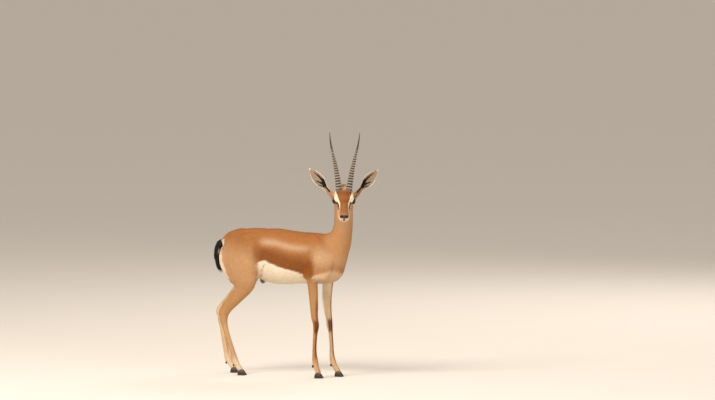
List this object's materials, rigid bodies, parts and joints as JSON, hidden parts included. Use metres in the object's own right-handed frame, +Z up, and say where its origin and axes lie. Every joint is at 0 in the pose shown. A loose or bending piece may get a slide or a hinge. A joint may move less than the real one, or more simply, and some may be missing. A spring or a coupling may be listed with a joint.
{
  "type": "gazelle",
  "caption": "Adult male gazelle of the Dorcas kind standing on four legs with its head turned to its right, a still life-size model.",
  "frame": {"origin": "on the floor, below the middle of the model's box", "axes": "+X forward along the trunk, +Y to the animal's left, +Z up; the head is turned towards -Y"},
  "size_m": [0.7439, 0.2869, 1.0312],
  "materials": {
    "coat": "short flat fur, rufous fawn above with a darker flank band, cream-white below",
    "tail_hair": "long black hair",
    "eye": "wet gloss, very dark brown",
    "horn": "grey-brown ringed keratin with a smooth dark tip",
    "hoof": "dark grey-black keratin, satin"
  },
  "bodies": {
    "root": {"trunk": "coat", "neck": "coat", "head": "coat", "ear_left": "coat", "ear_right": "coat", "foreleg_left": "coat", "foreleg_right": "coat", "hindleg_left": "coat", "hindleg_right": "coat", "tail": "tail_hair", "eye_left": "eye", "eye_right": "eye", "horn_left": "horn", "horn_right": "horn", "hoof_fore_left_inner": "hoof", "hoof_fore_left_outer": "hoof", "hoof_fore_right_inner": "hoof", "hoof_fore_right_outer": "hoof", "hoof_hind_left_inner": "hoof", "hoof_hind_left_outer": "hoof", "hoof_hind_right_inner": "hoof", "hoof_hind_right_outer": "hoof", "dewclaw_fore_left_inner": "hoof", "dewclaw_fore_left_outer": "hoof", "dewclaw_fore_right_inner": "hoof", "dewclaw_fore_right_outer": "hoof", "dewclaw_hind_left_inner": "hoof", "dewclaw_hind_left_outer": "hoof", "dewclaw_hind_right_inner": "hoof", "dewclaw_hind_right_outer": "hoof"}
  },
  "joints": []
}
